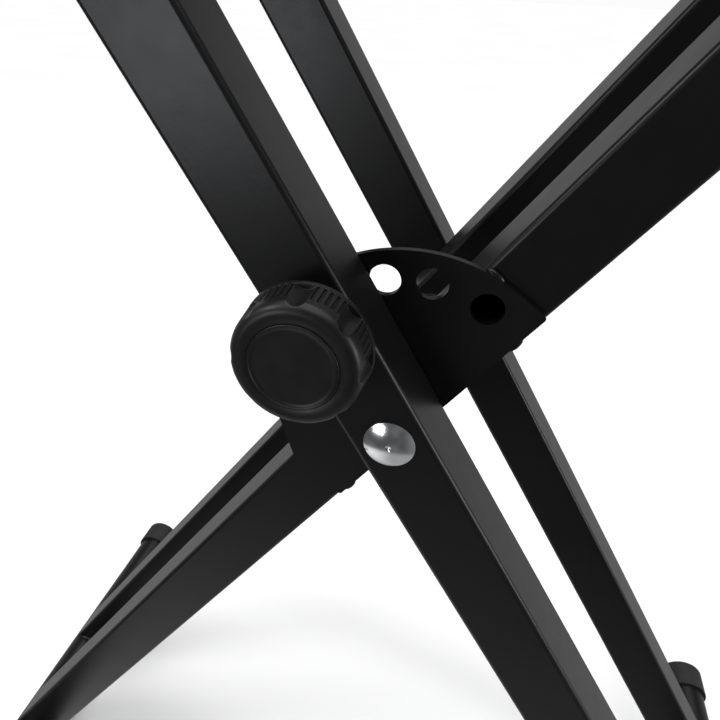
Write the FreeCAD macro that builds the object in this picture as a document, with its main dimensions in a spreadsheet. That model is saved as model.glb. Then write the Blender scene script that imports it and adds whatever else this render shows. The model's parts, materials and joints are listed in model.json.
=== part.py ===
# Folding keyboard stand with two crossed pairs of square-tube legs.
#
# Millimetres and degrees, +Z up, the front at -Y. The origin is on the floor, under the
# middle of the crossing. The outer pair of legs leans to the left at the top and the inner
# pair to the right. A round bar joins each pair at the top (arm) and at the bottom (foot).
# The pairs turn on two rivets, and a screw lock on the front outer leg sends its pin into
# one of the holes of the index plate, which is welded to the front inner leg.

import FreeCAD
import Part
import Sketcher
import math
import os
import re

PARTS_FOLDER = "parts"
TOLERANCE = 1e-6

# Driving sizes in millimetres and degrees, and counts.
SIZES = {
    "tube_width": 30,  # square leg tube, outside width
    "tube_wall": 1.5,  # square leg tube, wall
    "tube_corner": 2.2,  # square leg tube, outside corner radius
    "leg_reach": 500,  # pivot to the middle of each arm and foot bar
    "inner_gap": 54,  # clear gap between the two inner legs
    "bar_diameter": 30,  # arm and foot bars, diameter
    "bar_wall": 1.5,  # arm and foot bars, wall
    "cope_gap": 0.1,  # gap of a leg's saddle cut to its bar
    "bar_length": 352,  # arm and foot bars, length of the tube
    "cap_wall": 2.5,  # rubber end caps, wall
    "cap_end": 4,  # rubber end caps, closed end
    "cap_grip": 20,  # rubber end caps, length on the bar
    "cap_round": 3,  # rubber end caps, rounding of the closed end
    "sleeve_wall": 2,  # rubber arm sleeves, wall
    "sleeve_offset": 3,  # rubber arm sleeves, gap to the leg beside
    "sleeve_gap": 9,  # rubber arm sleeves, gap to the end cap
    "groove_width": 2.4,  # rubber arm sleeves, width of a grip groove
    "groove_depth": 0.8,  # rubber arm sleeves, depth of a grip groove
    "groove_pitch": 6,  # rubber arm sleeves, pitch of the grip grooves
    "groove_margin": 3,  # rubber arm sleeves, least plain length at each end
    "stow_gap": 0.3,  # gap between the end caps of the two frames when folded flat
    "plate_thickness": 3,  # index plate, thickness
    "plate_margin": 5.55,  # index plate, metal between its lock holes and its arc
    "plate_tail_cut": 1.5,  # index plate, its tail's reach short of the arc's radius
    "plate_chord_cut": 5.7,  # index plate, its slanted edge's reach short of that radius
    "plate_slant": 144.2,  # index plate, slant of that edge's normal from the leg
    "plate_inset": 0.7,  # index plate, lower edge above the leg's lower face
    "plate_round": 1.2,  # index plate, corner rounding
    "lock_radius": 54,  # circle of the lock holes about the pivot
    "lock_hole": 12.9,  # lock holes, diameter
    "first_angle": 28.5,  # first working lock hole, angle between the legs
    "step_angle": 19.5,  # step between the working lock holes
    "step_count": 5,  # number of working lock holes
    "rest_step": 2,  # steps from the first working hole to the one in use
    "bead_length": 4,  # weld beads, half length
    "bead_radius": 1.7,  # weld beads, half thickness
    "bead_rise": 1,  # weld beads, their middle in front of the leg's face
    "end_bead_side": 10.5,  # weld bead at the plate's end, its middle from the leg's axis
    "lower_bead_inset": 16.5,  # lower weld bead, its middle behind the plate's arc
    "tail_bead_inset": 7,  # tail weld bead, its middle ahead of the plate's tail
    "rivet_shank": 10,  # pivot rivets, shank diameter
    "rivet_head": 20,  # pivot rivets, head diameter
    "rivet_dome": 3.4,  # pivot rivets, height of the domed head
    "rivet_rim": 0.8,  # pivot rivets, thickness of the head at its rim
    "dimple_radius": 1.3,  # pivot rivets, radius of the centre dimple
    "dimple_depth": 0.5,  # pivot rivets, depth of the centre dimple
    "tail_head": 16,  # pivot rivets, diameter of the formed tail
    "tail_height": 3,  # pivot rivets, height of the formed tail
    "tail_slope": 1,  # pivot rivets, width of the slope round the formed tail
    "tail_washer": 22,  # steel washer under a rivet tail, diameter
    "tail_washer_thickness": 1.5,  # steel washer under a rivet tail, thickness
    "bush_wall": 1.5,  # pivot bushes, wall
    "pivot_washer": 26,  # nylon washer between front legs, diameter
    "pivot_washer_thickness": 2,  # nylon washer between front legs, thickness
    "press_gap": 0.02,  # gap of a pressed or screwed fit, per side
    "running_gap": 0.05,  # gap of a turning fit, per side
    "face_gap": 0.1,  # gap between faces that slide past each other
    "pin_diameter": 12.4,  # lock pin, diameter
    "pin_nose": 2,  # lock pin, length of its tapered nose
    "nose_taper": 1.6,  # lock pin, reduction of the nose's radius
    "lock_travel": 7,  # lock pin, travel from drawn back to locked
    "pin_clearance": 0.5,  # lock pin, clearance to the plate when drawn back
    "thread_diameter": 14,  # lock screw, thread diameter
    "lock_bush_wall": 2,  # lock bush, wall round the thread
    "flange_diameter": 24,  # lock bush, flange diameter
    "flange_thickness": 2,  # lock bush, flange thickness
    "guide_length": 8,  # lock bush, length of the plain guide for the pin
    "knob_washer": 22,  # knob washer, diameter
    "knob_washer_thickness": 1.5,  # knob washer, thickness
    "knob_diameter": 46.8,  # knob, diameter
    "knob_depth": 16.5,  # knob, depth from its rim to its front
    "rim_gap": 6.6,  # knob, gap between its rim and the leg when locked
    "knob_draft": 1.2,  # knob, draft of its side per side
    "knob_shoulder": 3.8,  # knob, rounding of its front shoulder
    "rim_height": 2.2,  # knob, height of the plain ring round its rim
    "skirt_wall": 4.2,  # knob, wall of the skirt
    "knob_top": 3,  # knob, wall behind the front insert
    "hub_diameter": 22,  # knob, diameter of the hub inside the skirt
    "screw_hold": 14,  # knob, depth of the screw's hole in the hub
    "insert_diameter": 31.2,  # knob, diameter of the front insert
    "insert_thickness": 1.6,  # knob, thickness of the front insert
    "ring_height": 0.3,  # knob, height of the insert's raised ring
    "ring_width": 0.6,  # knob, width of the insert's raised ring
    "knob_phase": 32.4,  # knob, angle from the leg to its first finger scoop at rest
    "scoop_count": 8,  # knob, number of finger scoops
    "scoop_radius": 4.8,  # knob, radius of a finger scoop
    "scoop_depth": 2.1,  # knob, depth of a finger scoop
    "flute_angle": 6,  # knob, angle between grip grooves
    "flute_count": 5,  # knob, grip grooves between two scoops
    "flute_radius": 0.6,  # knob, radius of a grip groove
    "flute_reach": 10.6,  # knob, reach of the grip grooves from its rim
}

# Sizes that follow from the driving ones.
FORMULAS = {
    # angle between the legs at rest
    "rest_angle": "first_angle + rest_step * step_angle",
    # lean of each leg from upright
    "leg_lean": "rest_angle / 2",
    # end caps, diameter
    "cap_diameter": "bar_diameter + 2 * cap_wall",
    # angle between the legs when folded flat
    "stow_angle": "2 * asin((cap_diameter + stow_gap) / 2 / leg_reach) / 1deg",
    # arms and feet, distance to the side of the pivot
    "bar_side": "leg_reach * sin(leg_lean)",
    # arms and feet, distance above or below the pivot
    "bar_rise": "leg_reach * cos(leg_lean)",
    # pivot above the floor
    "pivot_height": "bar_rise + cap_diameter / 2",
    # half of the inside width of the leg tube
    "half_bore": "tube_width / 2 - tube_wall",
    # radius of a leg's saddle cut
    "cope_radius": "bar_diameter / 2 + cope_gap",
    # pivot to the square end of a leg
    "leg_half": "leg_reach - sqrt(cope_radius ^ 2 - half_bore ^ 2)",
    # inner legs, outer face from the middle
    "inner_face": "inner_gap / 2 + tube_width",
    # index plate, front face from the middle
    "plate_face": "inner_face + plate_thickness",
    # outer legs, inner face from the middle
    "outer_back": "plate_face + pivot_washer_thickness",
    # outer legs, outer face from the middle
    "outer_face": "outer_back + tube_width",
    # rubber arm sleeves, length between the leg and the end cap
    "sleeve_length": "bar_length / 2 - cap_grip - sleeve_gap - outer_face - sleeve_offset",
    # rubber arm sleeves, length that the grip grooves may take
    "groove_span": "sleeve_length - 2 * groove_margin",
    # rubber arm sleeves, number of grip grooves
    "groove_count": "floor((groove_span - groove_width) / groove_pitch) + 1",
    # index plate, radius of its arc about the pivot
    "plate_radius": "lock_radius + lock_hole / 2 + plate_margin",
    # index plate, reach of its tail past the pivot
    "plate_tail": "plate_radius - plate_tail_cut",
    # index plate, distance of the slanted edge from the pivot
    "plate_chord": "plate_radius - plate_chord_cut",
    # lock screw axis, distance to the side of the pivot
    "lock_side": "lock_radius * sin(leg_lean)",
    # lock screw axis, distance above the pivot
    "lock_rise": "lock_radius * cos(leg_lean)",
    # pivot bushes, bore
    "bush_bore": "rivet_shank + 2 * running_gap",
    # pivot bushes, diameter
    "bush_diameter": "bush_bore + 2 * bush_wall",
    # lock bush, thread bore
    "thread_bore": "thread_diameter + 2 * running_gap",
    # lock bush, pin bore
    "pin_bore": "pin_diameter + 2 * running_gap",
    # lock bush, body diameter
    "lock_bush": "thread_bore + 2 * lock_bush_wall",
    # knob rim from the leg when drawn back
    "rim_stand": "rim_gap + lock_travel",
    # knob, reach of its hub behind its rim
    "hub_reach": "rim_gap - flange_thickness - knob_washer_thickness - 2 * face_gap",
    # knob, depth of the hollow between its hub and its skirt
    "knob_hollow": "knob_depth - insert_thickness - knob_top",
    # knob, diameter of its front edge
    "knob_front": "knob_diameter - 2 * knob_draft",
    # knob, rounding of its shoulder, limited by the wall round the insert
    "shoulder_round": "min(knob_shoulder; (knob_front - insert_diameter) / 2 - 2 * press_gap)",
}

doc = FreeCAD.newDocument("keyboard_stand")
sizes = doc.addObject("Spreadsheet::Sheet", "Sizes")
cells = {alias: str(value) for alias, value in SIZES.items()}
cells.update({alias: f"={formula}" for alias, formula in FORMULAS.items()})
for row, (alias, content) in enumerate(cells.items(), start=1):
    sizes.set(f"A{row}", alias.replace("_", " "))
    sizes.set(f"B{row}", content)
    sizes.setAlias(f"B{row}", alias)
doc.recompute()

ALIASES = re.compile(r"\b(" + "|".join(cells) + r")\b")
nodes = []


def linked(expression):
    """Write an expression on aliases as one that other objects can use."""
    return ALIASES.sub(r"Sizes.\1", expression)


def number(expression):
    """Return the present value of an expression on aliases."""
    result = sizes.evalExpression(linked(expression))
    return float(getattr(result, "Value", result))


def bind(item, target, expression):
    """Tie a property to an expression on the sheet's aliases."""
    item.setExpression(target, linked(expression))


def place(item, side="0", depth="0", rise="0", lean=None, turn_axis=(0, 1, 0)):
    """Place an object, with its position and angle tied to the sheet."""
    angle = number(lean) if lean else 0
    turn = FreeCAD.Rotation(FreeCAD.Vector(*turn_axis), angle)
    position = FreeCAD.Vector(number(side), number(depth), number(rise))
    item.Placement = FreeCAD.Placement(position, turn)
    bind(item, "Placement.Base.x", side)
    bind(item, "Placement.Base.y", depth)
    bind(item, "Placement.Base.z", rise)
    if lean:
        bind(item, "Placement.Rotation.Angle", lean)


def add_node(item):
    """List an object as one piece of the stand."""
    nodes.append(item)
    return item


def new_body(name):
    """Start a piece with a body of its own."""
    body = doc.addObject("PartDesign::Body", name)
    body.Label = name
    return add_node(body)


def new_sketch(body, name, role):
    """Start a sketch on one of the body's own origin planes."""
    sketch = body.newObject("Sketcher::SketchObject", name)
    plane = next(item for item in body.Origin.OriginFeatures if item.Role == role)
    sketch.AttachmentSupport = [(plane, "")]
    sketch.MapMode = "FlatFace"
    return sketch


def fix_point(sketch, geometry, position, along, up):
    """Hold a point of the sketch at the given expressions."""
    for kind, axis, expression in (("DistanceX", -2, along), ("DistanceY", -1, up)):
        if expression == "0":
            sketch.addConstraint(Sketcher.Constraint("PointOnObject", geometry, position, axis))
            continue
        value = number(expression)
        constraint = Sketcher.Constraint(kind, -1, 1, geometry, position, value)
        index = sketch.addConstraint(constraint)
        bind(sketch, f"Constraints[{index}]", expression)


def add_circle(sketch, diameter, along="0", up="0"):
    """Add a circle whose place and diameter are tied to the sheet."""
    centre = FreeCAD.Vector(number(along), number(up), 0)
    shape = Part.Circle(centre, FreeCAD.Vector(0, 0, 1), number(diameter) / 2)
    circle = sketch.addGeometry(shape)
    fix_point(sketch, circle, 3, along, up)
    constraint = Sketcher.Constraint("Diameter", circle, number(diameter))
    index = sketch.addConstraint(constraint)
    bind(sketch, f"Constraints[{index}]", diameter)


def add_outline(sketch, corners, domes=()):
    """Add a closed outline with its corners tied to the sheet.

    A side whose number is in domes is an arc, bulging outward, with its middle on the
    sketch's upright axis.
    """
    points = [FreeCAD.Vector(number(along), number(up), 0) for along, up in corners]
    ends = []
    for side, start in enumerate(points):
        finish = points[(side + 1) % len(points)]
        if side in domes:
            middle = (finish.Length ** 2 - start.Length ** 2) / (2 * (finish.y - start.y))
            centre = FreeCAD.Vector(0, middle, 0)
            circle = Part.Circle(centre, FreeCAD.Vector(0, 0, 1), (start - centre).Length)
            first, last = sorted(math.atan2(p.y - middle, p.x) for p in (start, finish))
            arc = sketch.addGeometry(Part.ArcOfCircle(circle, first, last))
            sketch.addConstraint(Sketcher.Constraint("PointOnObject", arc, 3, -2))
            forward = math.atan2(start.y - middle, start.x) == first
            ends.append((arc, 1, 2) if forward else (arc, 2, 1))
        else:
            line = sketch.addGeometry(Part.LineSegment(start, finish))
            ends.append((line, 1, 2))
    for side, (geometry, begin, _) in enumerate(ends):
        before, _, finish = ends[side - 1]
        sketch.addConstraint(Sketcher.Constraint("Coincident", before, finish, geometry, begin))
        fix_point(sketch, geometry, begin, *corners[side])


def add_square(sketch, width):
    """Add a square about the sketch's middle."""
    half = f"({width}) / 2"
    add_outline(sketch, [(f"-{half}", f"-{half}"), (half, f"-{half}"), (half, half),
                         (f"-{half}", half)])


def pad_both_ways(body, sketch, length):
    """Extrude a sketch equally to both sides of its plane."""
    pad = body.newObject("PartDesign::Pad", "Pad")
    pad.Profile = sketch
    pad.SideType = "Symmetric"
    bind(pad, "Length", length)
    sketch.Visibility = False
    doc.recompute()
    return pad


def cut_through(body, sketch, both_ways=True, reach=None):
    """Cut a sketch through everything, to both sides or only to the front (-Y).

    With a reach the cut to the front stops there.
    """
    before = body.Shape.Volume
    pocket = body.newObject("PartDesign::Pocket", "Pocket")
    pocket.Profile = sketch
    if reach:
        pocket.Type = "Length"
        bind(pocket, "Length", reach)
    else:
        pocket.Type = "ThroughAll"
    if both_ways:
        pocket.SideType = "Symmetric"
    else:
        pocket.Reversed = True
    sketch.Visibility = False
    doc.recompute()
    if body.Shape.Volume >= before:
        raise RuntimeError(f"{body.Label}: {sketch.Label} cuts nothing")
    return pocket


def revolve(body, sketch):
    """Turn a half section round the body's Y axis."""
    turned = body.newObject("PartDesign::Revolution", "Revolution")
    turned.Profile = sketch
    turned.ReferenceAxis = (sketch, ["V_Axis"])
    turned.Angle = 360
    sketch.Visibility = False
    doc.recompute()
    return turned


def round_edges(body, radius, wanted):
    """Round the edges of the body's tip for which wanted(edge) is true."""
    tip = body.Tip
    names = [f"Edge{index}" for index, edge in enumerate(tip.Shape.Edges, start=1)
             if wanted(edge)]
    fillet = body.newObject("PartDesign::Fillet", "Fillet")
    fillet.Base = (tip, names)
    bind(fillet, "Radius", radius)
    doc.recompute()
    return fillet


def ring(name, outer, inner, length):
    """Make a plain ring about the Y axis, centred on the origin."""
    body = new_body(name)
    section = new_sketch(body, f"{name}_section", "XZ_Plane")
    add_circle(section, outer)
    add_circle(section, inner)
    pad_both_ways(body, section, length)
    return body


def leg(name, holes, front_holes=()):
    """Make one leg along its own Z axis, with the pivot at its origin."""
    body = new_body(name)
    section = new_sketch(body, f"{name}_section", "XY_Plane")
    add_square(section, "tube_width")
    add_square(section, "2 * half_bore")
    pad_both_ways(body, section, "2 * leg_half")

    def corner_at(half):
        def wanted(edge):
            first, last = (vertex.Point for vertex in edge.Vertexes)
            upright = abs(first.z - last.z) > half
            return upright and abs(abs(first.x) - half) < TOLERANCE
        return wanted
    round_edges(body, "tube_corner", corner_at(number("tube_width / 2")))
    round_edges(body, "tube_corner - tube_wall", corner_at(number("half_bore")))

    cuts = new_sketch(body, f"{name}_cuts", "XZ_Plane")
    add_circle(cuts, "2 * cope_radius", up="leg_reach")
    add_circle(cuts, "2 * cope_radius", up="-leg_reach")
    for diameter, along, up in holes:
        add_circle(cuts, diameter, along, up)
    cut_through(body, cuts)
    if front_holes:
        front = new_sketch(body, f"{name}_front_holes", "XZ_Plane")
        for diameter, along, up in front_holes:
            add_circle(front, diameter, along, up)
        cut_through(body, front, both_ways=False)
    return body


# ---------------------------------------------------------------- legs

INNER_MIDDLE = "(inner_gap + tube_width) / 2"
OUTER_MIDDLE = "(outer_back + outer_face) / 2"
STOW_HOLE = ("lock_hole", "-lock_radius * sin(stow_angle)", "lock_radius * cos(stow_angle)")


def lean_left(item, depth):
    """Stand a piece in the outer frame, which leans left at the top."""
    place(item, depth=depth, rise="pivot_height", lean="leg_lean", turn_axis=(0, -1, 0))


def lean_right(item, depth):
    """Stand a piece in the inner frame, which leans right at the top."""
    place(item, depth=depth, rise="pivot_height", lean="leg_lean", turn_axis=(0, 1, 0))


rivet_hole = ("rivet_shank + 2 * press_gap", "0", "0")
bush_hole = ("bush_diameter + 2 * press_gap", "0", "0")
lock_bush_hole = ("lock_bush + 2 * press_gap", "0", "lock_radius")

outer_front = leg("leg_outer_front", [rivet_hole, lock_bush_hole])
lean_left(outer_front, f"-{OUTER_MIDDLE}")
lean_left(leg("leg_outer_rear", [rivet_hole]), OUTER_MIDDLE)
inner_front = leg("leg_inner_front", [bush_hole], [STOW_HOLE])
lean_right(inner_front, f"-{INNER_MIDDLE}")
lean_right(leg("leg_inner_rear", [bush_hole]), INNER_MIDDLE)

# ---------------------------------------------------------------- arm and foot bars

# The outer frame has its arm on the left and its foot on the right.
FRAMES = {"outer": -1, "inner": 1}
HALF_TURN = "180"


def bar_place(side_sign, is_arm):
    """Return the place of a bar's axis as expressions."""
    side = side_sign if is_arm else -side_sign
    rise = "pivot_height + bar_rise" if is_arm else "pivot_height - bar_rise"
    return f"{side} * bar_side", rise


def end_cap(name):
    """Make a rubber cap whose origin is on the end face of its bar."""
    body = new_body(name)
    half = new_sketch(body, f"{name}_half", "XY_Plane")
    add_outline(half, [
        ("0", "0"),
        ("bar_diameter / 2 + press_gap", "0"),
        ("bar_diameter / 2 + press_gap", "-cap_grip"),
        ("cap_diameter / 2", "-cap_grip"),
        ("cap_diameter / 2", "cap_end"),
        ("0", "cap_end"),
    ])
    revolve(body, half)
    far = number("cap_end")
    round_edges(body, "cap_round", lambda edge: all(abs(v.Point.y - far) < TOLERANCE
                                                    for v in edge.Vertexes))
    return body


def arm_sleeve(name):
    """Make a grooved rubber sleeve, from its inner end at the origin towards +Y."""
    body = new_body(name)
    half = new_sketch(body, f"{name}_half", "XY_Plane")
    inner = "bar_diameter / 2 + press_gap"
    outer = "bar_diameter / 2 + sleeve_wall"
    add_outline(half, [(inner, "0"), (outer, "0"), (outer, "sleeve_length"),
                       (inner, "sleeve_length")])
    revolve(body, half)
    cut = new_sketch(body, f"{name}_groove", "XY_Plane")
    first = "(sleeve_length - (groove_count - 1) * groove_pitch - groove_width) / 2"
    floor = f"{outer} - groove_depth"
    past = f"{outer} + groove_depth"
    add_outline(cut, [(floor, first), (past, first), (past, f"{first} + groove_width"),
                      (floor, f"{first} + groove_width")])
    before = body.Shape.Volume
    groove = body.newObject("PartDesign::Groove", "Groove")
    groove.Profile = cut
    groove.ReferenceAxis = (cut, ["V_Axis"])
    groove.Angle = 360
    cut.Visibility = False
    row = body.newObject("PartDesign::LinearPattern", "Grooves")
    row.Originals = [groove]
    row.Direction = (cut, ["V_Axis"])
    bind(row, "Length", "(groove_count - 1) * groove_pitch")
    bind(row, "Occurrences", "groove_count")
    body.Tip = row
    doc.recompute()
    if body.Shape.Volume >= before:
        raise RuntimeError(f"{name}: the grooves cut nothing")
    return body


for frame, sign in FRAMES.items():
    for kind, is_arm in (("arm", True), ("foot", False)):
        side, rise = bar_place(sign, is_arm)
        bar = ring(f"{kind}_bar_{frame}", "bar_diameter", "bar_diameter - 2 * bar_wall",
                   "bar_length")
        place(bar, side, "0", rise)
        front_cap = end_cap(f"{kind}_cap_{frame}_front")
        place(front_cap, side, "-bar_length / 2", rise, HALF_TURN, (1, 0, 0))
        rear_cap = end_cap(f"{kind}_cap_{frame}_rear")
        place(rear_cap, side, "bar_length / 2", rise)
    side, rise = bar_place(sign, True)
    front_sleeve = arm_sleeve(f"arm_sleeve_{frame}_front")
    place(front_sleeve, side, "-outer_face - sleeve_offset", rise, HALF_TURN, (1, 0, 0))
    rear_sleeve = arm_sleeve(f"arm_sleeve_{frame}_rear")
    place(rear_sleeve, side, "outer_face + sleeve_offset", rise)

# ---------------------------------------------------------------- pivot


def rivet(name, grip):
    """Make a rivet along +Y, with the underside of its domed head at the origin."""
    body = new_body(name)
    half = new_sketch(body, f"{name}_half", "XY_Plane")
    tail_edge = "tail_head / 2 - tail_slope"
    add_outline(half, [
        ("0", "dimple_depth - rivet_dome"),
        ("dimple_radius", "-rivet_dome"),
        ("rivet_head / 2", "-rivet_rim"),
        ("rivet_head / 2", "0"),
        ("rivet_shank / 2", "0"),
        ("rivet_shank / 2", grip),
        ("tail_head / 2", grip),
        ("tail_head / 2", f"{grip} + tail_height / 2"),
        (tail_edge, f"{grip} + tail_height"),
        ("0", f"{grip} + tail_height"),
    ], domes=(1,))
    revolve(body, half)
    return body


washer_bore = "rivet_shank + 2 * running_gap"
TAIL_STACK = "tail_washer_thickness + 2 * face_gap"
FULL_GRIP = f"outer_face - inner_gap / 2 + {TAIL_STACK}"

front_rivet = rivet("pivot_rivet_front", FULL_GRIP)
place(front_rivet, depth="-outer_face", rise="pivot_height")
rear_rivet = rivet("pivot_rivet_rear", FULL_GRIP)
place(rear_rivet, depth="outer_face", rise="pivot_height", lean=HALF_TURN, turn_axis=(1, 0, 0))

for name, sign in (("pivot_tail_washer_front", "-"), ("pivot_tail_washer_rear", "")):
    tail_ring = ring(name, "tail_washer", washer_bore, "tail_washer_thickness")
    depth = f"{sign}(inner_gap / 2 - face_gap - tail_washer_thickness / 2)"
    place(tail_ring, depth=depth, rise="pivot_height")

front_washer = ring("pivot_washer_front", "pivot_washer", washer_bore,
                    "pivot_washer_thickness - 2 * face_gap")
place(front_washer, depth="-(plate_face + outer_back) / 2", rise="pivot_height")
rear_spacer = ring("pivot_spacer_rear", "pivot_washer", washer_bore,
                   "outer_back - inner_face - 2 * face_gap")
place(rear_spacer, depth="(outer_back + inner_face) / 2", rise="pivot_height")

front_bush = ring("pivot_bush_front", "bush_diameter", "bush_bore",
                  "plate_thickness + tube_width")
place(front_bush, depth="-(plate_face + inner_gap / 2) / 2", rise="pivot_height")
rear_bush = ring("pivot_bush_rear", "bush_diameter", "bush_bore", "tube_width")
place(rear_bush, depth=INNER_MIDDLE, rise="pivot_height")

# ---------------------------------------------------------------- index plate

# The plate lies in the frame of the inner leg: Z along the leg, and the outer leg's
# upper end towards -X. Its arc runs from the leg's axis round to the slanted edge.


def index_plate():
    """Make the sector plate with its arc, slanted edge and ring of lock holes."""
    body = new_body("index_plate")
    outline = new_sketch(body, "plate_outline", "XZ_Plane")
    radius = number("plate_radius")
    slant = math.radians(number("plate_slant"))
    reach = math.acos(number("plate_chord") / radius)
    bottom = number("tube_width / 2 - plate_inset")
    tail = number("plate_tail")

    def spot(along, across):
        return FreeCAD.Vector(-across, along, 0)
    arc_end = slant - reach
    chord_drop = (number("plate_chord") + tail * math.cos(slant)) / math.sin(slant)
    right_foot, right_top = spot(radius, -bottom), spot(radius, 0)
    chord_top = spot(radius * math.cos(arc_end), radius * math.sin(arc_end))
    left_top, left_foot = spot(-tail, chord_drop), spot(-tail, -bottom)

    circle = Part.Circle(FreeCAD.Vector(0, 0, 0), FreeCAD.Vector(0, 0, 1), radius)
    quarter = math.pi / 2
    right = outline.addGeometry(Part.LineSegment(right_foot, right_top))
    arc = outline.addGeometry(Part.ArcOfCircle(circle, quarter, quarter + arc_end))
    chord = outline.addGeometry(Part.LineSegment(chord_top, left_top))
    left = outline.addGeometry(Part.LineSegment(left_top, left_foot))
    foot = outline.addGeometry(Part.LineSegment(left_foot, right_foot))

    def hold(*arguments):
        return outline.addConstraint(Sketcher.Constraint(*arguments))
    hold("Coincident", right, 2, arc, 1)
    hold("Coincident", arc, 2, chord, 1)
    hold("Coincident", chord, 2, left, 1)
    hold("Coincident", left, 2, foot, 1)
    hold("Coincident", foot, 2, right, 1)
    hold("Coincident", arc, 3, -1, 1)
    hold("PointOnObject", arc, 1, -2)
    hold("Horizontal", right)
    hold("Horizontal", left)
    hold("Vertical", foot)
    driven = (
        (hold("Radius", arc, radius), "plate_radius"),
        (hold("DistanceX", -1, 1, foot, 1, bottom), "tube_width / 2 - plate_inset"),
        (hold("DistanceY", -1, 1, foot, 1, -tail), "-plate_tail"),
        (hold("Distance", -1, 1, chord, number("plate_chord")), "plate_chord"),
        (hold("Angle", chord, slant - math.pi), "plate_slant - 180"),
    )
    for index, expression in driven:
        bind(outline, f"Constraints[{index}]", expression)
    pad_both_ways(body, outline, "plate_thickness")

    def corner(edge):
        # Every corner but the one on the leg's axis, where the arc starts smoothly.
        first, last = (vertex.Point for vertex in edge.Vertexes)
        return abs(first.x) > TOLERANCE and abs(first.y - last.y) > TOLERANCE
    round_edges(body, "plate_round", corner)

    fixed = new_sketch(body, "plate_pivot_and_stow_holes", "XZ_Plane")
    add_circle(fixed, "bush_diameter + 2 * press_gap")
    add_circle(fixed, *STOW_HOLE)
    cut_through(body, fixed)

    first = new_sketch(body, "plate_lock_hole", "XZ_Plane")
    add_circle(first, "lock_hole", "-lock_radius * sin(first_angle)",
               "lock_radius * cos(first_angle)")
    hole = cut_through(body, first)
    pattern = body.newObject("PartDesign::PolarPattern", "LockHoles")
    pattern.Originals = [hole]
    pattern.Axis = (first, ["N_Axis"])
    bind(pattern, "Angle", "(step_count - 1) * step_angle")
    bind(pattern, "Occurrences", "step_count")
    body.Tip = pattern
    doc.recompute()
    return body


plate = index_plate()
lean_right(plate, "-(inner_face + plate_face) / 2")

# ---------------------------------------------------------------- weld beads of the plate


def weld_beads():
    """Make the short beads that hold the plate's edges to the leg."""
    lower = "-(tube_width / 2 - plate_inset)"
    front = "-(inner_face + bead_rise)"
    end = "sqrt(plate_radius ^ 2 - end_bead_side ^ 2)"
    spots = [
        (end, "end_bead_side", "leg_lean + 90"),
        ("plate_radius - lower_bead_inset", lower, "leg_lean"),
        ("tail_bead_inset - plate_tail", lower, "leg_lean"),
    ]
    beads = []
    for index, (along, across, turn) in enumerate(spots):
        bead = doc.addObject("Part::Ellipsoid", f"bead_{index}")
        bead.Angle1 = -90
        bind(bead, "Radius1", "bead_length")
        bind(bead, "Radius2", "bead_radius")
        bind(bead, "Radius3", "bead_radius")
        place(bead, f"({along}) * sin(leg_lean) - ({across}) * cos(leg_lean)", front,
              f"pivot_height + ({along}) * cos(leg_lean) + ({across}) * sin(leg_lean)",
              turn)
        beads.append(bead)
    group = doc.addObject("Part::Compound", "bead_group")
    group.Links = beads
    carriers = doc.addObject("Part::MultiFuse", "bead_carriers")
    carriers.Shapes = [plate, inner_front]
    seated = doc.addObject("Part::Cut", "plate_welds")
    seated.Label = "plate_welds"
    seated.Base = group
    seated.Tool = carriers
    return add_node(seated)


weld_beads()

# ---------------------------------------------------------------- screw lock

PIN_TIP = "plate_face + pin_clearance"
SCREW_HEAD = "outer_face + rim_stand - hub_reach + screw_hold"


def at_lock(item, depth):
    """Place a piece on the lock's axis, turned with the outer leg."""
    place(item, "-lock_side", depth, "pivot_height + lock_rise", "leg_lean", (0, -1, 0))


def lock_bush():
    """Make the flanged bush through the leg, from its outer face towards +Y."""
    body = new_body("lock_bush")
    half = new_sketch(body, "lock_bush_half", "XY_Plane")
    add_outline(half, [
        ("thread_bore / 2", "-flange_thickness"),
        ("flange_diameter / 2", "-flange_thickness"),
        ("flange_diameter / 2", "0"),
        ("lock_bush / 2", "0"),
        ("lock_bush / 2", "tube_width"),
        ("pin_bore / 2", "tube_width"),
        ("pin_bore / 2", "tube_width - guide_length"),
        ("thread_bore / 2", "tube_width - guide_length"),
    ])
    revolve(body, half)
    return body


def lock_screw():
    """Make the screw with its plain pin, from the pin's tip at the origin towards -Y."""
    body = new_body("lock_screw")
    half = new_sketch(body, "lock_screw_half", "XY_Plane")
    # The shoulder behind the pin stays one travel and one clearance short of the guide.
    shoulder = f"-(guide_length + outer_back - ({PIN_TIP}) + lock_travel + pin_clearance)"
    head = f"-({SCREW_HEAD} - ({PIN_TIP}))"
    add_outline(half, [
        ("0", "0"),
        ("pin_diameter / 2 - nose_taper", "0"),
        ("pin_diameter / 2", "-pin_nose"),
        ("pin_diameter / 2", shoulder),
        ("thread_diameter / 2", shoulder),
        ("thread_diameter / 2", head),
        ("0", head),
    ])
    revolve(body, half)
    return body


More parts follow.
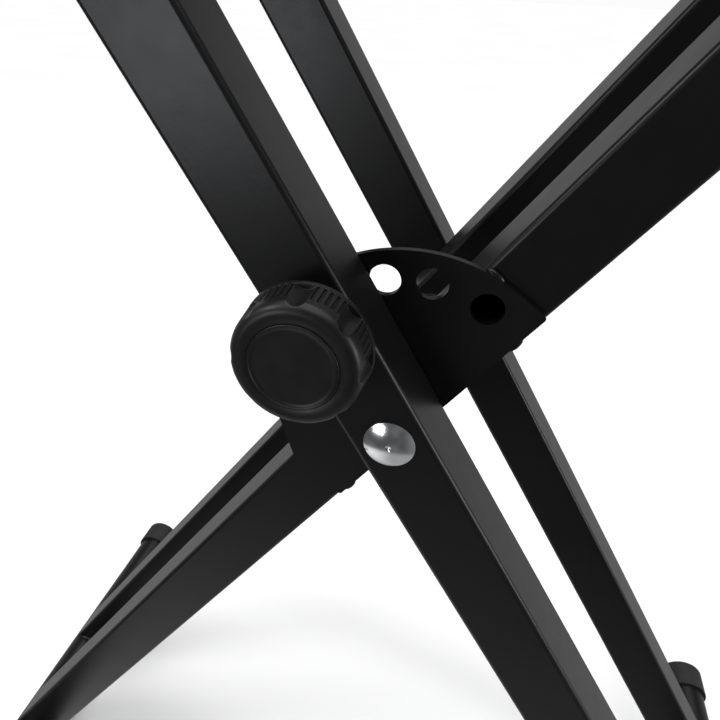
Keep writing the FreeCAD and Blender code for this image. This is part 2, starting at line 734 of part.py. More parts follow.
def knob_grip():
    """Make the knob, from its rim at the origin towards -Y."""
    body = new_body("knob_grip")
    half = new_sketch(body, "knob_half", "XY_Plane")
    bore = "thread_diameter / 2 + press_gap"
    hole = "-(screw_hold - hub_reach)"
    skirt = "knob_diameter / 2 - skirt_wall"
    insert = "insert_diameter / 2 + press_gap"
    seat = "-(knob_depth - insert_thickness)"
    add_outline(half, [
        (bore, "hub_reach"),
        ("hub_diameter / 2", "hub_reach"),
        ("hub_diameter / 2", "-knob_hollow"),
        (skirt, "-knob_hollow"),
        (skirt, "0"),
        ("knob_diameter / 2", "0"),
        ("knob_front / 2", "-knob_depth"),
        (insert, "-knob_depth"),
        (insert, seat),
        ("0", seat),
        ("0", hole),
        (bore, hole),
    ])
    revolve(body, half)
    front = number("knob_depth")
    edge_radius = number("knob_front / 2")

    def shoulder(edge):
        on_front = all(abs(v.Point.y + front) < TOLERANCE for v in edge.Vertexes)
        curve = edge.Curve
        return on_front and hasattr(curve, "Radius") and abs(curve.Radius - edge_radius) < TOLERANCE
    round_edges(body, "shoulder_round", shoulder)

    scoop = new_sketch(body, "knob_scoop", "XZ_Plane")
    reach = "(knob_diameter / 2 + scoop_radius - scoop_depth)"
    add_circle(scoop, "2 * scoop_radius", f"{reach} * sin(knob_phase)",
               f"{reach} * cos(knob_phase)")
    scoop_cut = cut_through(body, scoop)
    flutes = new_sketch(body, "knob_flutes", "XZ_Plane")
    for index in range(int(number("flute_count"))):
        # The flutes are centred half way between two scoops.
        angle = ("(knob_phase + 180 / scoop_count"
                 f" + ({index} - (flute_count - 1) / 2) * flute_angle)")
        add_circle(flutes, "2 * flute_radius", f"(knob_diameter - knob_draft) / 2 * sin{angle}",
                   f"(knob_diameter - knob_draft) / 2 * cos{angle}")
    flute_cut = cut_through(body, flutes, both_ways=False, reach="flute_reach")
    pattern = body.newObject("PartDesign::PolarPattern", "Grips")
    pattern.Originals = [scoop_cut, flute_cut]
    pattern.Axis = (scoop, ["N_Axis"])
    pattern.Angle = 360
    bind(pattern, "Occurrences", "scoop_count")
    body.Tip = pattern
    doc.recompute()

    rim = new_sketch(body, "knob_rim", "XZ_Plane")
    add_circle(rim, "knob_diameter")
    add_circle(rim, f"2 * ({skirt})")
    ring_pad = body.newObject("PartDesign::Pad", "Rim")
    ring_pad.Profile = rim
    bind(ring_pad, "Length", "rim_height")
    rim.Visibility = False
    doc.recompute()
    return body


def knob_insert():
    """Make the plain front insert, from its back at the origin towards -Y."""
    body = new_body("knob_insert")
    half = new_sketch(body, "knob_insert_half", "XY_Plane")
    add_outline(half, [
        ("0", "0"),
        ("insert_diameter / 2", "0"),
        ("insert_diameter / 2", "-(insert_thickness + ring_height)"),
        ("insert_diameter / 2 - ring_width", "-(insert_thickness + ring_height)"),
        ("insert_diameter / 2 - ring_width", "-insert_thickness"),
        ("0", "-insert_thickness"),
    ])
    revolve(body, half)
    return body


at_lock(lock_bush(), "-outer_face")
at_lock(lock_screw(), f"-({PIN_TIP})")
at_lock(knob_grip(), "-(outer_face + rim_stand)")
at_lock(knob_insert(), "-(outer_face + rim_stand + knob_depth - insert_thickness)")
thrust_ring = ring("knob_washer", "knob_washer", "thread_diameter + 2 * running_gap",
                   "knob_washer_thickness")
at_lock(thrust_ring, "-(outer_face + rim_stand - hub_reach - face_gap"
                     " - knob_washer_thickness / 2)")

# ---------------------------------------------------------------- checks and export

doc.recompute()
for item in doc.Objects:
    if "Invalid" in item.State or "Error" in item.State:
        raise RuntimeError(f"{item.Label} has failed: {item.State}")
for item in nodes:
    if item.Shape.isNull() or not item.Shape.isValid() or not item.Shape.Solids:
        raise RuntimeError(f"{item.Label} has no valid solid")

os.makedirs(PARTS_FOLDER, exist_ok=True)
for item in nodes:
    item.Shape.exportStep(os.path.join(PARTS_FOLDER, f"{item.Label}.step"))
    volume = item.Shape.Volume / 1000
    print(f"{item.Label}: {len(item.Shape.Solids)} solid(s), {volume:.2f} cm3")
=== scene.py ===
# Looks of the folding keyboard stand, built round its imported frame.
#
# Metres, +Z up, the front at -Y. The outer legs lean to the left at the top and the inner
# legs to the right. The legs, bars, caps and plate are the frame's own solids with procedural
# materials. The knob, its face, the lock screw and the weld beads are meshes made here.

import json
import math

import bpy
from mathutils import Matrix, Vector, noise


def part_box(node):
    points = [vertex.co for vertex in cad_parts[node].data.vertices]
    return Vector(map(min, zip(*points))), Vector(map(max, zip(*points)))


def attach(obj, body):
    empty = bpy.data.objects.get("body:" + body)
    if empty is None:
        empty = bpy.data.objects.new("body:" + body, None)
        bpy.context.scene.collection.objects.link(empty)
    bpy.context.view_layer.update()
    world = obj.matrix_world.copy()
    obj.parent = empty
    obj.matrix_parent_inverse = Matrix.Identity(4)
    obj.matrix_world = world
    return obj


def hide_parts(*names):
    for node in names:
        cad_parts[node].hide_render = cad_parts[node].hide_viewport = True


MM = 0.001

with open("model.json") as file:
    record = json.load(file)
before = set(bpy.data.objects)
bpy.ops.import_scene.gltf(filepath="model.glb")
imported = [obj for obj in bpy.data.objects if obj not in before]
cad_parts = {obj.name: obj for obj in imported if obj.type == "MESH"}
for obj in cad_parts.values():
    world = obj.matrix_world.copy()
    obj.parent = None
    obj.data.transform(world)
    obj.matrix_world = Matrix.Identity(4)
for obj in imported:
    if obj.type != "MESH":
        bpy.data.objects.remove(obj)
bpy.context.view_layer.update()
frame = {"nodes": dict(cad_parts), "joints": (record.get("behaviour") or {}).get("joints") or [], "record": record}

# ---------------------------------------------------------------- places from the frame

joints = {joint["name"]: joint for joint in frame["joints"]}
PIVOT = Vector(joints["frame_fold"]["pos_m"])
LOCK = Vector(joints["knob_turn"]["pos_m"])
LOCK_UP = (LOCK - PIVOT).normalized()
FRONT = Vector((0, -1, 0))
LOCK_SIDE = LOCK_UP.cross(FRONT)

# ---------------------------------------------------------------- materials


class Paint:
    """A node material under construction, with its texture coordinates and shader."""

    def __init__(self, name):
        self.material = bpy.data.materials.new(name)
        self.material.use_nodes = True
        self.nodes = self.material.node_tree.nodes
        self.links = self.material.node_tree.links
        self.shader = self.nodes["Principled BSDF"]
        self.place = self.nodes.new("ShaderNodeTexCoord").outputs["Object"]

    def set(self, **values):
        """Set the shader's own sockets, with underscores for the spaces in their names."""
        for socket, value in values.items():
            self.shader.inputs[socket.replace("_", " ")].default_value = value

    def noise(self, size, detail=2.0, stretch=(1, 1, 1)):
        """Return a noise whose grains are about the given size across."""
        scaled = self.nodes.new("ShaderNodeMapping")
        scaled.inputs["Scale"].default_value = stretch
        self.links.new(self.place, scaled.inputs["Vector"])
        grain = self.nodes.new("ShaderNodeTexNoise")
        grain.inputs["Scale"].default_value = 1 / size
        grain.inputs["Detail"].default_value = detail
        self.links.new(scaled.outputs["Vector"], grain.inputs["Vector"])
        return grain.outputs["Fac"]

    def spread(self, value, low, high, start=0.3, stop=0.7):
        """Map a pattern's middle range onto low to high."""
        ramp = self.nodes.new("ShaderNodeMapRange")
        ramp.inputs["From Min"].default_value = start
        ramp.inputs["From Max"].default_value = stop
        ramp.inputs["To Min"].default_value = low
        ramp.inputs["To Max"].default_value = high
        self.links.new(value, ramp.inputs["Value"])
        return ramp.outputs["Result"]

    def colour(self, value, dark, light, start=0.3, stop=0.7):
        """Colour the shader between two colours after a pattern."""
        mix = self.nodes.new("ShaderNodeMix")
        mix.data_type = "RGBA"
        mix.inputs["A"].default_value = (*dark, 1)
        mix.inputs["B"].default_value = (*light, 1)
        self.links.new(self.spread(value, 0, 1, start, stop), mix.inputs["Factor"])
        self.links.new(mix.outputs["Result"], self.shader.inputs["Base Color"])

    def rough(self, value, low, high):
        """Vary the roughness between two values after a pattern."""
        self.links.new(self.spread(value, low, high), self.shader.inputs["Roughness"])

    def relief(self, *layers):
        """Raise the surface by layers of (pattern, height in metres, strength)."""
        normal = None
        for value, height, strength in layers:
            bump = self.nodes.new("ShaderNodeBump")
            bump.inputs["Distance"].default_value = height
            bump.inputs["Strength"].default_value = strength
            self.links.new(value, bump.inputs["Height"])
            if normal:
                self.links.new(normal, bump.inputs["Normal"])
            normal = bump.outputs["Normal"]
        self.links.new(normal, self.shader.inputs["Normal"])


def powder_coat():
    """Semi-matt black powder coat: a fine orange peel with faint cloudy patches."""
    paint = Paint("powder_coat_black")
    paint.set(Specular_IOR_Level=0.25)
    clouds = paint.noise(60 * MM, 3)
    paint.colour(clouds, (0.0022, 0.0022, 0.0025), (0.0032, 0.0032, 0.0036))
    paint.rough(paint.noise(9 * MM, 4), 0.335, 0.365)
    paint.relief((paint.noise(1.6 * MM, 2), 0.05 * MM, 0.5),
                 (paint.noise(0.35 * MM, 1), 0.012 * MM, 0.5))
    return paint.material


def knob_plastic():
    """Satin black moulded plastic with a fine spark-eroded grain."""
    paint = Paint("knob_plastic_black")
    paint.set(Specular_IOR_Level=0.27)
    paint.colour(paint.noise(12 * MM, 3), (0.002, 0.002, 0.0022), (0.004, 0.004, 0.0043))
    paint.rough(paint.noise(5 * MM, 5), 0.37, 0.45)
    paint.relief((paint.noise(0.3 * MM, 2), 0.02 * MM, 0.35))
    return paint.material


def rubber():
    """Black rubber, nearly matt, with a faint dusty bloom."""
    paint = Paint("rubber_black")
    paint.set(Specular_IOR_Level=0.35)
    paint.colour(paint.noise(14 * MM, 5), (0.006, 0.006, 0.006), (0.0115, 0.0112, 0.011))
    paint.rough(paint.noise(6 * MM, 4), 0.58, 0.72)
    paint.relief((paint.noise(0.5 * MM, 3), 0.04 * MM, 0.4))
    return paint.material


def chrome():
    """Bright plated steel with hair scratches and slight waves from forming."""
    paint = Paint("chrome_bright")
    paint.set(Metallic=1.0)
    paint.colour(paint.noise(8 * MM, 3), (0.66, 0.67, 0.69), (0.76, 0.77, 0.78))
    paint.rough(paint.noise(1.2 * MM, 5, (1, 1, 6)), 0.13, 0.2)
    paint.relief((paint.noise(4 * MM, 1), 0.05 * MM, 0.25),
                 (paint.noise(0.25 * MM, 2, (1, 1, 8)), 0.004 * MM, 0.3))
    return paint.material


def zinc_steel():
    """Zinc-plated steel: soft grey with a turned grain."""
    paint = Paint("zinc_plated")
    paint.set(Metallic=1.0)
    paint.colour(paint.noise(7 * MM, 4), (0.42, 0.42, 0.43), (0.6, 0.6, 0.58))
    paint.rough(paint.noise(0.8 * MM, 4), 0.26, 0.42)
    paint.relief((paint.noise(0.3 * MM, 2, (1, 5, 1)), 0.008 * MM, 0.4))
    return paint.material


def nylon():
    """Black nylon with a dull sheen."""
    paint = Paint("nylon_black")
    paint.set(Specular_IOR_Level=0.45)
    paint.colour(paint.noise(10 * MM, 3), (0.014, 0.014, 0.014), (0.022, 0.022, 0.022))
    paint.rough(paint.noise(4 * MM, 3), 0.42, 0.55)
    paint.relief((paint.noise(0.4 * MM, 2), 0.015 * MM, 0.3))
    return paint.material


MATERIALS = {
    "powder_coat": powder_coat(),
    "knob_plastic": knob_plastic(),
    "rubber": rubber(),
    "chrome": chrome(),
    "zinc_steel": zinc_steel(),
    "nylon": nylon(),
}

for subpart in frame["record"]["subparts"]:
    for slot in frame["nodes"][subpart["node"]].material_slots:
        slot.material = MATERIALS[subpart["material_slot"]]

# ---------------------------------------------------------------- mesh helpers


def add_piece(name, points, faces, slot, body, replaced=()):
    """Make a smooth mesh piece with a finish, which rides on a body."""
    mesh = bpy.data.meshes.new(name)
    mesh.from_pydata(points, [], faces)
    mesh.shade_smooth()
    mesh.materials.append(MATERIALS[slot])
    piece = bpy.data.objects.new(name, mesh)
    bpy.context.scene.collection.objects.link(piece)
    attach(piece, body)
    if replaced:
        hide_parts(*replaced)
    return piece


def grid_faces(rows, columns):
    """Return the faces of a grid of points whose columns close on themselves."""
    faces = []
    for row in range(rows - 1):
        for column in range(columns):
            after = (column + 1) % columns
            here, there = row * columns, (row + 1) * columns
            faces.append((here + column, there + column, there + after, here + after))
    return faces


def lathe(profile, angles, spot, shape):
    """Return the points and faces of a turned solid.

    profile is a list of (radius, along) from one point on the axis to another, spot places
    (radius, along, angle), and shape gives the radius that the solid has there.
    """
    rows = profile[1:-1]
    points = [spot(shape(radius, along, angle), along, angle)
              for radius, along in rows for angle in angles]
    faces = grid_faces(len(rows), len(angles))
    for pole, row, flip in ((profile[0], 0, False), (profile[-1], len(rows) - 1, True)):
        points.append(spot(0, pole[1], 0))
        middle = len(points) - 1
        for column in range(len(angles)):
            after = (column + 1) % len(angles)
            edge = (row * len(angles) + column, row * len(angles) + after)
            faces.append((middle, *(edge if not flip else reversed(edge))))
    return points, faces


def arc_points(centre, radius, start, stop, count):
    """Return points of an arc in the (radius, along) plane, angles in degrees."""
    turns = [math.radians(start + (stop - start) * step / count) for step in range(count + 1)]
    return [(centre[0] + radius * math.cos(turn), centre[1] + radius * math.sin(turn))
            for turn in turns]


def line_points(start, stop, count):
    """Return points along a line, without its last point."""
    return [(start[0] + (stop[0] - start[0]) * step / count,
             start[1] + (stop[1] - start[1]) * step / count) for step in range(count)]


def smooth_step(value, start, stop):
    """Rise smoothly from 0 at start to 1 at stop."""
    share = min(max((value - start) / (stop - start), 0), 1)
    return share * share * (3 - 2 * share)


# ---------------------------------------------------------------- knob

KNOB_RADIUS = 23.4 * MM
KNOB_DEPTH = 16.5 * MM
KNOB_DRAFT = 1.2 * MM
KNOB_SHOULDER = 3.8 * MM
RIM_HEIGHT = 2.2 * MM
RIM_ROUND = 0.5 * MM
RIM_BLEND = 0.15 * MM
LEDGE_SPREAD = 1.2
SKIRT_RADIUS = 19.2 * MM
HOLLOW_DEPTH = 11.9 * MM
HUB_RADIUS = 11 * MM
SCREW_RADIUS = 7 * MM
SCREW_HOLD = 14 * MM
INSERT_RADIUS = 15.6 * MM
INSERT_DEPTH = 1.6 * MM
INSERT_BACK = KNOB_DEPTH - INSERT_DEPTH
SEAT_CHAMFER = 0.1 * MM
KNOB_PHASE = math.radians(32.4)
SCOOP_COUNT = 8
SCOOP_RADIUS = 4.8 * MM
SCOOP_DEPTH = 2.1 * MM
SCOOP_BLEND = 0.35 * MM
SLOTS_BESIDE = 2
SLOT_STEP = math.radians(6)
SLOT_DEPTH = 0.8 * MM
SLOT_HALF = 0.6 * MM
SLOT_STOP = 10.8 * MM
SLOT_FLOOR = 0.4
SECTOR = 2 * math.pi / SCOOP_COUNT
SLOT_BAND = (2 * SLOTS_BESIDE + 0.6) * SLOT_STEP
SCOOP_COLUMNS = 30
BAND_COLUMNS = 92
KNOB_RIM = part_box("knob_grip")[0].y + KNOB_DEPTH
HUB_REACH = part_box("knob_grip")[1].y - KNOB_RIM


def knob_spot(radius, along, angle):
    """Place a point of the knob, with along counted forward from its rim."""
    turned = angle + KNOB_PHASE
    across = LOCK_UP * math.cos(turned) + LOCK_SIDE * math.sin(turned)
    return Vector((LOCK.x, KNOB_RIM, LOCK.z)) + across * radius + FRONT * along


def knob_angles():
    """Return the angles of the knob's grid, closer together across the grip slots."""
    scoop_width = SECTOR - SLOT_BAND
    angles = []
    for index in range(SCOOP_COUNT):
        scoop = index * SECTOR - scoop_width / 2
        angles += [scoop + scoop_width * step / SCOOP_COLUMNS for step in range(SCOOP_COLUMNS)]
        slots = scoop + SECTOR - SLOT_BAND
        angles += [slots + SLOT_BAND * step / BAND_COLUMNS for step in range(BAND_COLUMNS)]
    return angles


def scooped(radius, angle):
    """Return a radius cut back by the finger scoop at angle 0, with softened edges."""
    distance = KNOB_RADIUS + SCOOP_RADIUS - SCOOP_DEPTH
    inside = SCOOP_RADIUS ** 2 - (distance * math.sin(angle)) ** 2
    if inside <= 0:
        return radius
    wall = distance * math.cos(angle) - math.sqrt(inside)
    gap = max(SCOOP_BLEND - abs(radius - wall), 0) / SCOOP_BLEND
    return min(radius, wall) - gap * gap * SCOOP_BLEND / 4


def slot_depth(along, angle):
    """Return the depth of the grip slots at an angle from the middle of their group."""
    nearest = min(max(round(angle / SLOT_STEP), -SLOTS_BESIDE), SLOTS_BESIDE)
    across = (angle - nearest * SLOT_STEP) * KNOB_RADIUS
    past = max(along - (SLOT_STOP - SLOT_HALF), 0)
    return SLOT_DEPTH * (1 - smooth_step(math.hypot(across, past), SLOT_HALF * SLOT_FLOOR, SLOT_HALF))


def knob_radius(radius, along, angle):
    """Return the knob's radius with its finger scoops and grip slots above the rim ring."""
    if radius < KNOB_RADIUS - SCOOP_DEPTH - SCOOP_BLEND:
        return radius
    from_scoop = (angle + SECTOR / 2) % SECTOR - SECTOR / 2
    from_slots = angle % SECTOR - SECTOR / 2
    cut = scooped(radius, from_scoop) - slot_depth(along, from_slots)
    above = smooth_step(along, RIM_HEIGHT - RIM_BLEND, RIM_HEIGHT + RIM_BLEND)
    return radius - (radius - cut) * above


def knob_profile():
    """Return the knob's half section, from the end of its screw hole round to its front."""
    slope = math.degrees(math.atan2(KNOB_DRAFT, KNOB_DEPTH))
    reach = KNOB_SHOULDER * math.tan(math.radians(90 - slope) / 2)
    shoulder = (KNOB_RADIUS - KNOB_DRAFT - reach, KNOB_DEPTH - KNOB_SHOULDER)
    side_top = arc_points(shoulder, KNOB_SHOULDER, slope, slope, 1)[0]
    rim = (KNOB_RADIUS - RIM_ROUND, RIM_ROUND)
    inner_rim = (SKIRT_RADIUS + RIM_ROUND, RIM_ROUND)
    ledge = RIM_HEIGHT - LEDGE_SPREAD * RIM_BLEND, RIM_HEIGHT + LEDGE_SPREAD * RIM_BLEND
    ledge_low, ledge_high = [(KNOB_RADIUS - KNOB_DRAFT * along / KNOB_DEPTH, along)
                             for along in ledge]
    hole = SCREW_HOLD - HUB_REACH
    profile = [(0, hole)]
    profile += line_points((SCREW_RADIUS, hole), (SCREW_RADIUS, -HUB_REACH), 3)
    profile += line_points((SCREW_RADIUS, -HUB_REACH), (HUB_RADIUS, -HUB_REACH), 2)
    profile += line_points((HUB_RADIUS, -HUB_REACH), (HUB_RADIUS, HOLLOW_DEPTH), 4)
    profile += line_points((HUB_RADIUS, HOLLOW_DEPTH), (SKIRT_RADIUS, HOLLOW_DEPTH), 3)
    profile += line_points((SKIRT_RADIUS, HOLLOW_DEPTH), (SKIRT_RADIUS, RIM_ROUND), 4)
    profile += arc_points(inner_rim, RIM_ROUND, 180, 270, 3)
    profile += arc_points(rim, RIM_ROUND, 270, 360 + slope, 5)
    profile += line_points((KNOB_RADIUS, 2 * RIM_ROUND), ledge_low, 3)
    profile += line_points(ledge_low, ledge_high, 8)
    profile += line_points(ledge_high, side_top, 34)
    profile += arc_points(shoulder, KNOB_SHOULDER, slope, 90, 24)
    profile += [(INSERT_RADIUS + SEAT_CHAMFER, KNOB_DEPTH),
                (INSERT_RADIUS, KNOB_DEPTH - SEAT_CHAMFER)]
    profile += [(INSERT_RADIUS, INSERT_BACK), (0, INSERT_BACK)]
    return profile


add_piece("knob_body", *lathe(knob_profile(), knob_angles(), knob_spot, knob_radius),
          "knob_plastic", "lock_knob", ["knob_grip"])

RING_HEIGHT = 0.3 * MM
RING_WIDTH = 0.6 * MM
FACE_GAP = 0.08 * MM
FACE_COLUMNS = 180


def plain_radius(radius, along, angle):
    """Keep a turned solid's radius as its profile has it."""
    return radius


def face_profile():
    """Return the half section of the knob's bare front face, with its thin raised ring."""
    edge = INSERT_RADIUS - FACE_GAP
    middle = edge - RING_WIDTH / 2
    crown = arc_points((middle, KNOB_DEPTH), RING_WIDTH / 2, 0, 180, 10)
    crown = [(radius, KNOB_DEPTH + (along - KNOB_DEPTH) * RING_HEIGHT / (RING_WIDTH / 2))
             for radius, along in crown]
    inner = edge - RING_WIDTH
    return ([(0, INSERT_BACK)] + line_points((edge, INSERT_BACK), (edge, KNOB_DEPTH), 3)
            + crown + line_points((inner, KNOB_DEPTH), (0, KNOB_DEPTH), 8)[1:]
            + [(0, KNOB_DEPTH)])


round_angles = [2 * math.pi * step / FACE_COLUMNS for step in range(FACE_COLUMNS)]
add_piece("knob_face", *lathe(face_profile(), round_angles, knob_spot, plain_radius),
          "knob_plastic", "lock_knob", ["knob_insert"])

# ---------------------------------------------------------------- lock screw

THREAD_PITCH = 2 * MM
THREAD_DEPTH = 1.15 * MM
PIN_RADIUS = 6.2 * MM
NOSE_LENGTH = 2 * MM
NOSE_TAPER = 1.6 * MM
SCREW_LOW, SCREW_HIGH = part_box("lock_screw")
SCREW_LENGTH = SCREW_HIGH.y - SCREW_LOW.y
PIN_LENGTH = SCREW_HIGH.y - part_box("lock_bush")[1].y
GUIDE_LENGTH = 8 * MM
TRAVEL = joints["knob_travel"]["range_m"][1]
THREAD_ROWS_APART = 0.2 * MM
THREAD_CREST = 0.12
THREAD_ROOT = 0.88
THREAD_COLUMNS = 96
GUIDE_GAP = 0.5 * MM
THREAD_START = PIN_LENGTH + GUIDE_LENGTH + TRAVEL + GUIDE_GAP


def screw_spot(radius, along, angle):
    """Place a point of the screw, with along counted forward from its pin's tip."""
    across = LOCK_UP * math.cos(angle) + LOCK_SIDE * math.sin(angle)
    return Vector((LOCK.x, SCREW_HIGH.y, LOCK.z)) + across * radius + FRONT * along


def screw_radius(radius, along, angle):
    """Return the screw's radius with its thread cut in."""
    ramp = smooth_step(along, THREAD_START, THREAD_START + THREAD_PITCH)
    turn = (along / THREAD_PITCH - angle / (2 * math.pi)) % 1
    groove = smooth_step(1 - abs(2 * turn - 1), THREAD_CREST, THREAD_ROOT)
    return radius - THREAD_DEPTH * groove * ramp


def screw_profile():
    """Return the half section of the pin and the thread's crest."""
    pin = [(PIN_RADIUS - NOSE_TAPER, 0), (PIN_RADIUS, NOSE_LENGTH)]
    steps = int((SCREW_LENGTH - THREAD_START) / THREAD_ROWS_APART)
    profile = [(0, 0)] + pin + line_points(pin[-1], (PIN_RADIUS, THREAD_START), 6)[1:]
    profile += [(PIN_RADIUS, THREAD_START)]
    profile += line_points((SCREW_RADIUS, THREAD_START), (SCREW_RADIUS, SCREW_LENGTH), steps)
    return profile + [(SCREW_RADIUS, SCREW_LENGTH), (0, SCREW_LENGTH)]


thread_angles = [2 * math.pi * step / THREAD_COLUMNS for step in range(THREAD_COLUMNS)]
add_piece("lock_screw_threaded",
          *lathe(screw_profile(), thread_angles, screw_spot, screw_radius),
          "zinc_steel", "lock_knob", ["lock_screw"])

# ---------------------------------------------------------------- weld beads

RIPPLE_PITCH = 1.3 * MM
RIPPLE_DEPTH = 0.16
RIPPLE_BOW = 0.35
BEAD_WANDER = 0.14
WANDER_FINENESS = 700
BEAD_TAPER = 1.2
BEAD_END = 0.02
BEAD_SIDES = 14


def weld_bead(path, radius, seed):
    """Return the points and faces of a rippled bead along a path, drawn in at its ends."""
    points = []
    length = 0
    lengths = [0]
    for before, here in zip(path, path[1:]):
        length += (here - before).length
        lengths.append(length)
    for index, centre in enumerate(path):
        ahead = path[min(index + 1, len(path) - 1)] - path[max(index - 1, 0)]
        ahead.normalize()
        side = ahead.cross(FRONT).normalized()
        up = side.cross(ahead)
        from_end = min(lengths[index], length - lengths[index])
        taper = math.sqrt(min(from_end / (BEAD_TAPER * radius) + BEAD_END, 1))
        for step in range(BEAD_SIDES):
            angle = 2 * math.pi * step / BEAD_SIDES
            across = side * math.cos(angle) + up * math.sin(angle)
            phase = lengths[index] / RIPPLE_PITCH + RIPPLE_BOW * math.sin(angle)
            ripple = 1 - RIPPLE_DEPTH * (phase % 1)
            grain = (centre + Vector((seed, 0, 0))) * WANDER_FINENESS
            wander = 1 + BEAD_WANDER * noise.noise(grain)
            points.append(centre + across * radius * taper * ripple * wander)
    faces = grid_faces(len(path), BEAD_SIDES)
    faces.append(tuple(range(BEAD_SIDES)))
    faces.append(tuple(reversed(range(len(points) - BEAD_SIDES, len(points)))))
    return points, faces


def joined(meshes):
    """Join several lists of points and faces into one."""
    points, faces = [], []
    for more_points, more_faces in meshes:
        faces += [tuple(len(points) + corner for corner in face) for face in more_faces]
        points += more_points
    return points, faces


SADDLE_RADIUS = 1.7 * MM
SADDLE_SWEEP = math.radians(56)
SADDLE_STEPS = 64
SADDLE_LIFT = 0.3
BAR_RADIUS = 15 * MM
FACE_SEED = 0.37
END_SEED = 3.1


def saddle_beads(leg, bar, seed):
    """Return the beads where a leg's two faces meet a bar, round the bar's side."""
    low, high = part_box(bar)
    axis = (low + high) / 2
    towards = (PIVOT - axis).normalized()
    across = towards.cross(FRONT)
    reach = BAR_RADIUS + SADDLE_RADIUS * SADDLE_LIFT
    beads = []
    for depth in (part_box(leg)[0].y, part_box(leg)[1].y):
        path = []
        for step in range(SADDLE_STEPS + 1):
            angle = SADDLE_SWEEP * (2 * step / SADDLE_STEPS - 1)
            around = towards * math.cos(angle) + across * math.sin(angle)
            path.append(Vector((axis.x, depth, axis.z)) + around * reach)
        beads.append(weld_bead(path, SADDLE_RADIUS, seed))
        seed += FACE_SEED
    return beads


for side in ("outer", "inner"):
    beads = []
    for number, end in enumerate(("front", "rear")):
        for kind in ("arm", "foot"):
            beads += saddle_beads(f"leg_{side}_{end}", f"{kind}_bar_{side}",
                                  number * END_SEED + len(beads))
    add_piece(f"saddle_welds_{side}", *joined(beads), "powder_coat", f"{side}_frame")

# ---------------------------------------------------------------- floor, lights and camera


FLOOR_HALF = 60


def add_floor():
    """Make a plain pale floor far wider than the view, which glossy surfaces don't mirror."""
    mesh = bpy.data.meshes.new("floor")
    corners = [(-FLOOR_HALF, -FLOOR_HALF, 0), (FLOOR_HALF, -FLOOR_HALF, 0),
               (FLOOR_HALF, FLOOR_HALF, 0), (-FLOOR_HALF, FLOOR_HALF, 0)]
    mesh.from_pydata(corners, [], [(0, 1, 2, 3)])
    paint = Paint("floor_pale")
    paint.set(Specular_IOR_Level=0.0)
    paint.colour(paint.noise(0.8, 2), (0.87, 0.87, 0.87), (0.89, 0.89, 0.89))
    paint.rough(paint.noise(0.3, 2), 0.9, 1.0)
    mesh.materials.append(paint.material)
    floor = bpy.data.objects.new("floor", mesh)
    floor.visible_glossy = False
    bpy.context.scene.collection.objects.link(floor)


def add_sky(name, place, spread, irradiance):
    """Add a very soft overhead light, spread over an angle."""
    light = bpy.data.lights.new(name, "SUN")
    light.angle = spread
    light.energy = irradiance
    sky = bpy.data.objects.new(name, light)
    sky.location = place
    bpy.context.scene.collection.objects.link(sky)


def add_softbox(name, place, aim, size, radiance, colour=(1, 1, 1)):
    """Hang a flat soft light, (width, height), that points at a place and isn't seen itself."""
    light = bpy.data.lights.new(name, "AREA")
    light.shape = "RECTANGLE"
    light.size, light.size_y = size
    light.energy = radiance * math.pi * size[0] * size[1]
    light.color = colour
    box = bpy.data.objects.new(name, light)
    box.location = place
    box.rotation_mode = "QUATERNION"
    box.rotation_quaternion = (Vector(aim) - Vector(place)).to_track_quat("-Z", "Y")
    box.visible_camera = False
    bpy.context.scene.collection.objects.link(box)


BACKDROP = 0.97
ROOM_DIM = (0.09, 0.17)
ROOM_RIGHT = 0.3
BEHIND_LOW = 0.51
BEHIND_HIGH = 0.14
PAPER_RIGHT = 0.4
PAPER_LEFT = 1.1
CLUTTER_SCALE = 2
CLUTTER_RANGE = (0.35, 0.7)
RIGHT_FADE = (0.35, 0.85)
PAPER_FADE = (-0.5, 0.1)
PAPER_EDGE = (-0.82, -0.68)
BEHIND_FADE = (0.28, 0.5)
BACK_EDGE = (-0.2, 0.15)


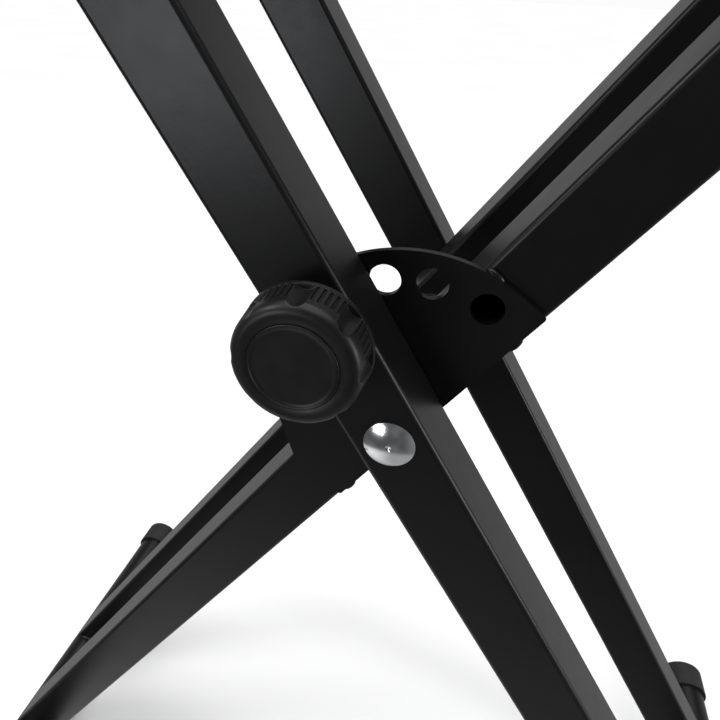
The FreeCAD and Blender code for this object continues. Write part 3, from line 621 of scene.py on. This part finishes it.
def add_world():
    """Surround the stand with the room that its surfaces mirror, before an even backdrop.

    The room is dim in front, lighter to the right and with white paper below. Behind it is
    grey, and darker higher up. The camera sees an even pale backdrop all round.
    """
    world = bpy.data.worlds.new("studio")
    world.use_nodes = True
    nodes, links = world.node_tree.nodes, world.node_tree.links
    direction = nodes.new("ShaderNodeTexCoord").outputs["Generated"]
    parts = nodes.new("ShaderNodeSeparateXYZ")
    links.new(direction, parts.inputs["Vector"])

    def fade(value, start, stop, low, high):
        ramp = nodes.new("ShaderNodeMapRange")
        ramp.interpolation_type = "SMOOTHSTEP"
        for socket, number in zip(("From Min", "From Max", "To Min", "To Max"),
                                  (start, stop, low, high)):
            ramp.inputs[socket].default_value = number
        links.new(value, ramp.inputs["Value"])
        return ramp.outputs["Result"]

    def blended(share, first, second):
        mix = nodes.new("ShaderNodeMix")
        for socket, source in zip(("Factor", "A", "B"), (share, first, second)):
            if isinstance(source, float):
                mix.inputs[socket].default_value = source
            else:
                links.new(source, mix.inputs[socket])
        return mix.outputs["Result"]

    clutter = nodes.new("ShaderNodeTexNoise")
    clutter.inputs["Scale"].default_value = CLUTTER_SCALE
    clutter.inputs["Detail"].default_value = 2
    links.new(direction, clutter.inputs["Vector"])
    room = fade(clutter.outputs["Fac"], *CLUTTER_RANGE, *ROOM_DIM)
    room = blended(fade(parts.outputs["X"], *RIGHT_FADE, 0, 1), room, ROOM_RIGHT)
    paper = fade(parts.outputs["X"], *PAPER_FADE, PAPER_LEFT, PAPER_RIGHT)
    below = fade(parts.outputs["Z"], *PAPER_EDGE, 1, 0)
    front = blended(below, room, paper)
    behind = fade(parts.outputs["Z"], *BEHIND_FADE, BEHIND_LOW, BEHIND_HIGH)
    mirrored = blended(fade(parts.outputs["Y"], *BACK_EDGE, 0, 1), front, behind)
    seen = nodes.new("ShaderNodeLightPath").outputs["Is Camera Ray"]
    nodes["Background"].inputs["Color"].default_value = (1, 1, 1, 1)
    links.new(blended(seen, mirrored, BACKDROP), nodes["Background"].inputs["Strength"])
    bpy.context.scene.world = world


FRAME_PIXELS = 720
FOCAL_PIXELS = 628.0
CENTRE_PIXEL = (320.7, 343.9)
SENSOR_WIDTH = 36.0
CAMERA_PLACE = Vector((21.1, -281.9, 583.9)) * MM
CAMERA_HEADING = math.radians(14.79)
CAMERA_DIP = math.radians(29.86)
CAMERA_ROLL = math.radians(2.96)
CAMERA_CLIP = (0.01, 200)


def add_camera():
    """Set the camera as a fit to the tube edges in the photograph places it."""
    camera = bpy.data.objects.new("camera", bpy.data.cameras.new("camera"))
    camera.data.sensor_width = SENSOR_WIDTH
    camera.data.lens = FOCAL_PIXELS / FRAME_PIXELS * SENSOR_WIDTH
    camera.data.shift_x = 0.5 - CENTRE_PIXEL[0] / FRAME_PIXELS
    camera.data.shift_y = CENTRE_PIXEL[1] / FRAME_PIXELS - 0.5
    camera.data.clip_start, camera.data.clip_end = CAMERA_CLIP
    turn = (Matrix.Rotation(CAMERA_HEADING, 4, "Z")
            @ Matrix.Rotation(math.pi / 2 - CAMERA_DIP, 4, "X")
            @ Matrix.Rotation(CAMERA_ROLL, 4, "Z"))
    camera.matrix_world = Matrix.Translation(CAMERA_PLACE) @ turn
    bpy.context.scene.collection.objects.link(camera)
    bpy.context.scene.camera = camera


add_floor()
add_world()
add_sky("overhead", place=(0, 0, 4), spread=math.radians(70), irradiance=3.0)
add_softbox("window", place=(-0.75, -1.39, 0.48), aim=PIVOT, size=(0.56, 0.46), radiance=7.5,
            colour=(0.95, 0.97, 1))
add_softbox("side", place=(1.76, -0.34, 0.6), aim=PIVOT, size=(0.28, 1.1), radiance=16)
add_softbox("lamp", place=(-1.1, -0.7, 1.36), aim=PIVOT, size=(0.5, 0.5), radiance=11,
            colour=(0.97, 0.97, 1))
add_camera()
bpy.context.scene.view_settings.view_transform = "Standard"
